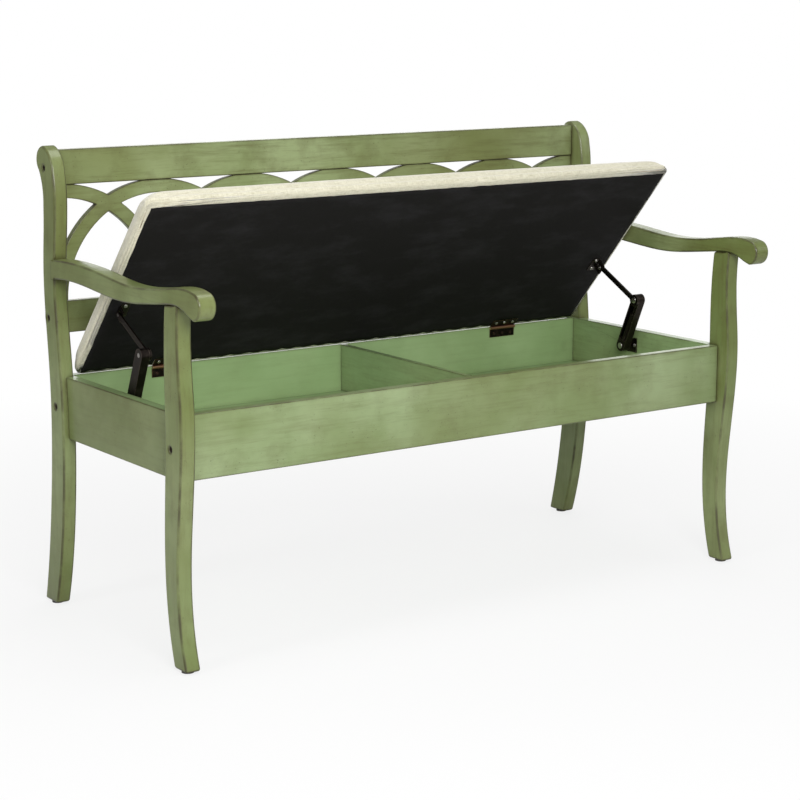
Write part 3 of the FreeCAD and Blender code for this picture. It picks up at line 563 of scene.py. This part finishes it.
def inflate(obj):
    """Lets the cloth swell a little under pressure, with the part round the board held."""
    group = obj.vertex_groups.new(name="held")
    start = [vertex.co.copy() for vertex in obj.data.vertices]
    group.add([i for i, co in enumerate(start) if co.z < HELD_BELOW], 1.0, "REPLACE")
    cloth = obj.modifiers.new("cloth", "CLOTH")
    for name, value in CLOTH_SETTINGS.items():
        setattr(cloth.settings, name, value)
    cloth.settings.effector_weights.gravity = 0
    cloth.collision_settings.use_collision = False
    for step in range(1, SWELL_STEPS + 1):
        scene.frame_set(step)
    shaped = obj.evaluated_get(bpy.context.evaluated_depsgraph_get())
    moved = [vertex.co.copy() for vertex in shaped.data.vertices]
    obj.modifiers.remove(cloth)
    scene.frame_set(1)
    for vertex, old, new in zip(obj.data.vertices, start, moved):
        shift = new - old
        if shift.length > LARGEST_SWELL:
            shift = shift.normalized() * LARGEST_SWELL
        vertex.co = old + shift


PUCKER_REACH = 0.030
FOLD_REACH = 0.085
PUCKER_HEIGHT = 0.012
PUCKER_SPREAD = 0.022
RIPPLE_DEPTH = 0.0011
FOLD_DEPTH = 0.0022


def pull(point):
    """Puckers where the cloth is drawn over the lid's edge, deepest at the corners."""
    x, y, z = point
    to_side = LID_HALF - abs(x)
    to_end = min(LID_REAR - y, y - LID_FRONT)
    near = max(0.0, 1 - min(to_side, to_end) / PUCKER_REACH)
    corner = max(0.0, 1 - math.hypot(max(to_side, 0), max(to_end, 0)) / FOLD_REACH)
    along = x if to_end < to_side else y
    ripple = wave(along, z, 26, 8, 3.0)
    fold = wave(along, z, 75, 5, 9.0)
    side_height = max(0.0, 1 - abs(z - PUCKER_HEIGHT) / PUCKER_SPREAD)
    return near * side_height * (RIPPLE_DEPTH * ripple + FOLD_DEPTH * corner * fold)


TOP_STARTS = 0.030
TOP_FULL = 0.012
CROWN = 0.0035
DIMPLE = 0.0012
FULLER_STARTS = 0.018
FULLER_FULL = 0.030
FULLER_RISE = 0.0030


def dressed_point(point):
    """A point of the cushion with a low crown, dimples and puckers, kept clear of the posts and arms."""
    x, y, z = point
    across = x / LID_HALF
    back = (y - LID_MIDDLE) / PAD_HALF_DEPTH
    swell = max(0.0, 1 - across ** 2) * max(0.0, 1 - back ** 2)
    top = min(1.0, max(0.0, (z - TOP_STARTS) / TOP_FULL))
    fuller = max(0.0, 1 - across ** 4) * max(0.0, (z - FULLER_STARTS) / FULLER_FULL)
    crown = CROWN * swell ** 0.5 + DIMPLE * wave(x, y, 4.5, 7.0, 1.0)
    moved = Vector((x, y, z + FULLER_RISE * min(fuller, 1.0) + top * crown))
    outward = Vector((across, back, 0)).normalized()
    moved += outward * pull(moved)
    moved.z = min(moved.z, PAD_TOP)
    over = abs(moved.x) - PAD_SIDE
    if over > 0:
        moved.x = math.copysign(PAD_SIDE + over / 2, moved.x)
    return moved


def seat_cushion():
    verts, faces = pad_mesh()
    cushion = piece("seat_cushion", verts, faces, linen_cloth, None)
    remesh = cushion.modifiers.new("even", "REMESH")
    remesh.mode = "VOXEL"
    remesh.voxel_size = PAD_VOXEL
    cushion.data = applied(cushion)
    inflate(cushion)
    for vertex in cushion.data.vertices:
        vertex.co = dressed_point(vertex.co)
    finer = cushion.modifiers.new("finer", "SUBSURF")
    finer.levels = 1
    cushion.data = applied(cushion)
    cushion.data.transform(LID_FRAME)
    for face in cushion.data.polygons:
        face.use_smooth = True
    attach(cushion, "lid")
    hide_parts("seat_pad")


# Hem of the cover: it runs down round the board's edge and is folded under the board.
HEM_RINGS = (
    # inset from the edge, height
    (-0.0030, 0.0150),
    (-0.0040, 0.0100),
    (-0.0034, 0.0064),
    (-0.0006, 0.0044),
    (0.0080, 0.0038),
    (0.0240, 0.0038),
    (0.0250, 0.0046),
)
HEM_CORNER = 0.012
HEM_STEP = 0.45 / 22
HEM_PUCKER = 0.0005
HEM_WAVE = 0.0003


def divided(outline, longest):
    """A closed outline with more points on its long straights."""
    points = []
    for (x0, y0), (x1, y1) in zip(outline, outline[1:] + outline[:1]):
        pieces = max(1, int(math.dist((x0, y0), (x1, y1)) / longest))
        for step in range(pieces):
            share = step / pieces
            points.append((x0 + (x1 - x0) * share, y0 + (y1 - y0) * share))
    return points


def cover_hem():
    verts = []
    count = 0
    for inset, height in HEM_RINGS:
        ring = divided(lid_outline(inset, HEM_CORNER, 5), HEM_STEP)
        count = len(ring)
        for x, y in ring:
            pucker = HEM_PUCKER * wave(x, y, 60, 60, 2.0)
            sag = HEM_WAVE * wave(x, y, 34, 34, inset * 60)
            verts.append((x * (1 + pucker), y + pucker, height - sag))
    hem = piece("cover_hem", verts, rings_to_faces(count, len(HEM_RINGS)), linen_cloth, None)
    hem.data.transform(LID_FRAME)
    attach(hem, "lid")
    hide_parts("cover_wrap")


HINGE_CENTRES = (-0.405, 0.405)
HINGE_LENGTH = 0.064
HINGE_SCREWS = 3

# Dust cover: black cloth stretched under the board, its edges turned in, notched for the hinges.
DUST_X = LID_HALF - 0.0045
DUST_REAR = -0.0062
DUST_FRONT = LID_FRONT + 0.0080
DUST_LOW = 0.0027
DUST_THICKNESS = 0.0005
DUST_ROWS = 36
DUST_COLUMNS = 110
DUST_LIFT = 0.0004
DUST_BORDER = 0.06
EDGE_WANDER = 0.0012
TACK_SPACING = 0.038
TACK_SCALLOP = 0.0040
NOTCH_HALF = HINGE_LENGTH / 2 + 0.0015
NOTCH_REAR = -0.0215
NOTCH_CLEAR = 0.004
NOTCH_SLOPE = 0.0004


def dust_columns():
    """Places across the dust cover: an even row, with two more at each side of a hinge notch."""
    places = [-DUST_X + 2 * DUST_X * step / DUST_COLUMNS for step in range(DUST_COLUMNS + 1)]
    for centre in HINGE_CENTRES:
        for sign in (-1, 1):
            side = centre + sign * NOTCH_HALF
            places = [x for x in places if abs(x - side) > NOTCH_CLEAR]
            places += [side, side - sign * NOTCH_SLOPE]
    return sorted(places)


def dust_rear(x):
    """The rear edge of the dust cover: drawn in small scallops by its tacks, cut back at the hinges."""
    for centre in HINGE_CENTRES:
        if abs(x - centre) < NOTCH_HALF - NOTCH_SLOPE / 2:
            return NOTCH_REAR
    tack = abs(math.sin(math.pi * x / TACK_SPACING + 0.8 * wave(x, 2.0, 9, 1, 5.0)))
    return DUST_REAR - TACK_SCALLOP * (1 - tack)


def dust_point(x, share, layer):
    """A point of the dust cover. share runs from its rear edge to its front edge."""
    rear = dust_rear(x)
    front = DUST_FRONT + EDGE_WANDER * wave(x, 5.0, 45, 1, 1.0)
    y = rear + (front - rear) * share
    edge_x = x
    if abs(x) > DUST_X - 1e-6:
        edge_x += EDGE_WANDER * wave(y, 7.0, 45, 1, x)
    border = min(1 - abs(x) / DUST_X, share, 1 - share)
    loose = min(1.0, max(0.0, border) / DUST_BORDER)
    ripple = wave(x, y, 5, 9, 0.4) + 0.5 * wave(x, y, 17, 15, 4.0)
    lift = DUST_LIFT * loose * min(max(ripple, 0.0), 1.0)
    return (edge_x, y, DUST_LOW + lift + DUST_THICKNESS * layer)


def dust_cover():
    columns = dust_columns()
    wide = len(columns)
    verts = []
    for layer in (0, 1):
        for row in range(DUST_ROWS + 1):
            verts += [dust_point(x, row / DUST_ROWS, layer) for x in columns]
    layer_size = wide * (DUST_ROWS + 1)
    faces = []
    for row in range(DUST_ROWS):
        for column in range(wide - 1):
            start = row * wide + column
            quad = (start, start + 1, start + wide + 1, start + wide)
            faces.append(quad)
            faces.append(tuple(index + layer_size for index in reversed(quad)))
    rim = list(range(wide))
    rim += [row * wide + wide - 1 for row in range(1, DUST_ROWS + 1)]
    rim += [DUST_ROWS * wide + column for column in range(wide - 2, -1, -1)]
    rim += [row * wide for row in range(DUST_ROWS - 1, 0, -1)]
    for first, second in zip(rim, rim[1:] + rim[:1]):
        faces.append((first, second, second + layer_size, first + layer_size))
    cover = piece("dust_cloth", verts, faces, dust_cloth, None)
    cover.data.transform(LID_FRAME)
    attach(cover, "lid")
    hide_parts("dust_cover")


seat_cushion()
cover_hem()
dust_cover()

# Fastener heads. Each is a small turned form with a driver recess, built from rings.
HEAD_SPOKES = 36
HEAD_RINGS = (0.15, 0.3, 0.45, 0.6, 0.75, 0.9, 1.0)
HEAD_SUNK = 0.0002
DOMED = 0.4
NEARLY_FLAT = 0.12


def recessed_head(place, outward, radius, height, recess, depth, dome=DOMED):
    """Vertices and faces of one head. recess(x, y) is 1 inside the driver recess."""
    turn = outward.to_track_quat("Z", "Y").to_matrix().to_4x4()
    stand = Matrix.Translation(place) @ turn
    angles = [2 * math.pi * spoke / HEAD_SPOKES for spoke in range(HEAD_SPOKES)]
    local = [(0.0, 0.0, height - depth * recess(0.0, 0.0))]
    for share in HEAD_RINGS:
        for angle in angles:
            x = share * math.cos(angle)
            y = share * math.sin(angle)
            rise = height * (1 - dome * share ** 2.5) - depth * recess(x, y)
            local.append((x * radius, y * radius, rise))
    for angle in angles:
        local.append((radius * math.cos(angle), radius * math.sin(angle), -HEAD_SUNK))
    faces = [(0, 1 + spoke, 1 + (spoke + 1) % HEAD_SPOKES) for spoke in range(HEAD_SPOKES)]
    for ring in range(len(HEAD_RINGS)):
        for spoke in range(HEAD_SPOKES):
            after = (spoke + 1) % HEAD_SPOKES
            low = 1 + ring * HEAD_SPOKES
            high = low + HEAD_SPOKES
            faces.append((low + spoke, high + spoke, high + after, low + after))
    return [stand @ Vector(v) for v in local], faces


def cross_recess(x, y):
    reach = max(abs(x), abs(y))
    narrow = min(abs(x), abs(y))
    return 1.0 if reach < 0.62 and narrow < 0.16 else 0.0


def hex_recess(x, y):
    angle = math.atan2(y, x)
    sector = (angle % (math.pi / 3)) - math.pi / 6
    return 1.0 if math.hypot(x, y) * math.cos(sector) < 0.52 else 0.0


def no_recess(x, y):
    return 0.0


# radius, height, recess, depth of the recess, share of the height that the rim lies lower
HINGE_HEAD = (0.0033, 0.0012, cross_recess, 0.0008, DOMED)
PLATE_HEAD = (0.0040, 0.0016, cross_recess, 0.0009, DOMED)
BOLT_HEAD = (0.0050, 0.0030, hex_recess, 0.0022, NEARLY_FLAT)


def heads(name, places, form, material, body, replaced):
    """All heads of one set, joined in one mesh."""
    verts = []
    faces = []
    for place, outward in places:
        some_verts, some_faces = recessed_head(place, outward, *form)
        offset = len(verts)
        verts += some_verts
        faces += [tuple(index + offset for index in face) for face in some_faces]
    obj = piece(name, verts, faces, material, body)
    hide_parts(replaced)


def loose_parts(bm):
    """Boxes of a mesh's separate solids."""
    boxes = []
    left = set(bm.verts)
    while left:
        stack = [left.pop()]
        found = []
        while stack:
            vertex = stack.pop()
            found.append(vertex.co.copy())
            for edge in vertex.link_edges:
                other = edge.other_vert(vertex)
                if other in left:
                    left.remove(other)
                    stack.append(other)
        low = Vector(min(co[axis] for co in found) for axis in range(3))
        high = Vector(max(co[axis] for co in found) for axis in range(3))
        boxes.append([low, high])
    return boxes


def clusters(node, gap=0.004):
    """Boxes of a node's fasteners, at rest. Solids closer than the gap belong to one fastener."""
    bm = bmesh.new()
    bm.from_mesh(nodes[node].data)
    boxes = loose_parts(bm)
    bm.free()
    merged = []
    for low, high in boxes:
        for other in merged:
            if all(low[a] <= other[1][a] + gap and high[a] >= other[0][a] - gap for a in range(3)):
                for axis in range(3):
                    other[0][axis] = min(other[0][axis], low[axis])
                    other[1][axis] = max(other[1][axis], high[axis])
                break
        else:
            merged.append([low, high])
    return merged


# Lid screws point up into the board, so their heads face away from it.
lid_down = LID_FRAME.to_3x3() @ Vector((0, 0, -1))
SCREW_DEPTH = 0.0124
LID_LEAF_FACE = 0.0021
BOX_LEAF_FACE = 0.0018


def hinge_places(local_y, local_z):
    """The screws' places along each hinge, in the lid's closed frame."""
    places = []
    for centre in HINGE_CENTRES:
        for index in range(HINGE_SCREWS):
            x = centre - HINGE_LENGTH / 2 + HINGE_LENGTH * (index + 0.5) / HINGE_SCREWS
            places.append(Vector((x, local_y, local_z)))
    return places


lid_screw_places = [(LID_FRAME @ place, lid_down) for place in hinge_places(-SCREW_DEPTH, LID_LEAF_FACE)]
heads("hinge_lid_screw_heads", lid_screw_places, HINGE_HEAD, zinc, "lid", "hinge_lid_screws")
forward = Vector((0, -1, 0))
box_screw_places = [(HINGE + place, forward) for place in hinge_places(BOX_LEAF_FACE, -SCREW_DEPTH)]
heads("hinge_box_screw_heads", box_screw_places, HINGE_HEAD, bronze, "frame", "hinge_box_screws")

CAP_HEIGHT = 0.0012
PIN_ENDS = (
    # pin, node it stands in, body, end of the pin, radius of its cap
    ("stay_foot", "stay_foot_bracket", "frame", 0.5725, 0.0062),
    ("elbow_pin", "elbow_pin", "housing", 0.5680, 0.0062),
    ("top_pin", "top_pin", "stay_lever", 0.5645, 0.0045),
)
PLATE_X = 0.5560
PLATE_SCREWS = (-0.1686, -0.1914)
PLATE_FACE = 0.0008


def pin_cap(side, sign, pin, node, body, end, radius):
    """A domed cap on the end of a stay's pin, which keeps its parts together."""
    low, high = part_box(side + "_" + node)
    middle = (low + high) / 2
    place = Vector((sign * end, middle.y, middle.z))
    verts, faces = recessed_head(place, Vector((-sign, 0, 0)), radius, CAP_HEIGHT, no_recess, 0.0)
    own_body = body if body == "frame" else side + "_" + body
    cap = piece(side + "_" + pin + "_cap", verts, faces, zinc, own_body)


for side, sign in SIDES:
    for row in PIN_ENDS:
        pin_cap(side, sign, *row)
    foot_places = []
    for low, high in clusters(side + "_foot_bracket_screws"):
        face = low.x if sign > 0 else high.x
        middle = (low + high) / 2
        foot_places.append((Vector((face, middle.y, middle.z)), Vector((-sign, 0, 0))))
    heads(side + "_foot_screw_heads", foot_places, PLATE_HEAD, zinc, "frame",
          side + "_foot_bracket_screws")
    plate_places = []
    for local_y in PLATE_SCREWS:
        plate_places.append((LID_FRAME @ Vector((sign * PLATE_X, local_y, PLATE_FACE)), lid_down))
    heads(side + "_top_screw_heads", plate_places, PLATE_HEAD, zinc, "lid",
          side + "_top_bracket_screws")

BOLT_SUNK = 0.003
bolt_places = []
for low, high in clusters("frame_bolts"):
    outward = 1 if low.x + high.x > 0 else -1
    face = high.x if outward > 0 else low.x
    middle = (low + high) / 2
    middle.x = face - outward * BOLT_SUNK
    bolt_places.append((middle, Vector((outward, 0, 0))))
heads("bolt_heads", bolt_places, BOLT_HEAD, black_bolt, "frame", "frame_bolts")

# Stage: a white floor that keeps a soft shadow, and a white world.
FLOOR_HALF = 30.0
FLOOR_GREY = (0.70, 0.70, 0.70)
WHITE = (1, 1, 1, 1)
WORLD_LIGHT = 0.34


def white_floor():
    shader = Shader("floor")
    shader.finish(Base_Color=FLOOR_GREY, Roughness=0.8)
    glow = shader.node("ShaderNodeEmission", {"Color": WHITE, "Strength": 1.0})
    path = shader.node("ShaderNodeLightPath")
    distance = shader.node("ShaderNodeVectorMath", operation="LENGTH")
    shader.feed(distance.inputs[0], shader.where)
    far = shader.ramp(distance.outputs["Value"], 0.7, 2.2, 0.80, 1.0)
    share = shader.math("MULTIPLY", path.outputs["Is Camera Ray"], far)
    blend = shader.node("ShaderNodeMixShader")
    shader.feed(blend.inputs[0], share)
    shader.feed(blend.inputs[1], shader.surface.outputs[0])
    shader.feed(blend.inputs[2], glow.outputs[0])
    shader.feed(shader.tree.nodes["Material Output"].inputs["Surface"], blend.outputs[0])
    half = FLOOR_HALF
    corners = [(-half, -half, 0), (half, -half, 0), (half, half, 0), (-half, half, 0)]
    floor = piece("floor", corners, [(0, 1, 2, 3)], shader.material, None)


def white_world():
    world = bpy.data.worlds.new("world")
    scene.world = world
    world.use_nodes = True
    tree = world.node_tree
    sky = tree.nodes["Background"]
    sky.inputs["Color"].default_value = WHITE
    sky.inputs["Strength"].default_value = WORLD_LIGHT
    seen = tree.nodes.new("ShaderNodeBackground")
    seen.inputs["Color"].default_value = WHITE
    seen.inputs["Strength"].default_value = 1.0
    path = tree.nodes.new("ShaderNodeLightPath")
    blend = tree.nodes.new("ShaderNodeMixShader")
    tree.links.new(path.outputs["Is Camera Ray"], blend.inputs[0])
    tree.links.new(sky.outputs[0], blend.inputs[1])
    tree.links.new(seen.outputs[0], blend.inputs[2])
    tree.links.new(blend.outputs[0], tree.nodes["World Output"].inputs["Surface"])


LAMPS = (
    # name, place, aim, size, power in watts
    ("key", (-1.3, -2.75, 1.8), (-0.2, 0, 0.40), (1.4, 1.2), 86),
    ("side", (-3.2, -0.4, 1.7), (0, 0, 0.5), (0.6, 1.8), 24),
    ("fill", (3.2, -2.4, 2.2), (0, 0, 0.4), (0.9, 2.0), 7),
    ("top", (0.3, -0.2, 3.4), (0.1, 0, 0.4), (2.6, 1.2), 36),
    ("back", (1.6, 3.4, 1.1), (0, 0, 0.5), (4.5, 1.4), 30),
)


def lamp(name, place, aim, size, power):
    data = bpy.data.lights.new(name, "AREA")
    data.shape = "RECTANGLE"
    data.size, data.size_y = size
    data.energy = power
    obj = bpy.data.objects.new(name, data)
    obj.location = place
    obj.rotation_euler = (Vector(aim) - Vector(place)).to_track_quat("-Z", "Y").to_euler()
    scene.collection.objects.link(obj)


white_floor()
white_world()
for row in LAMPS:
    lamp(*row)
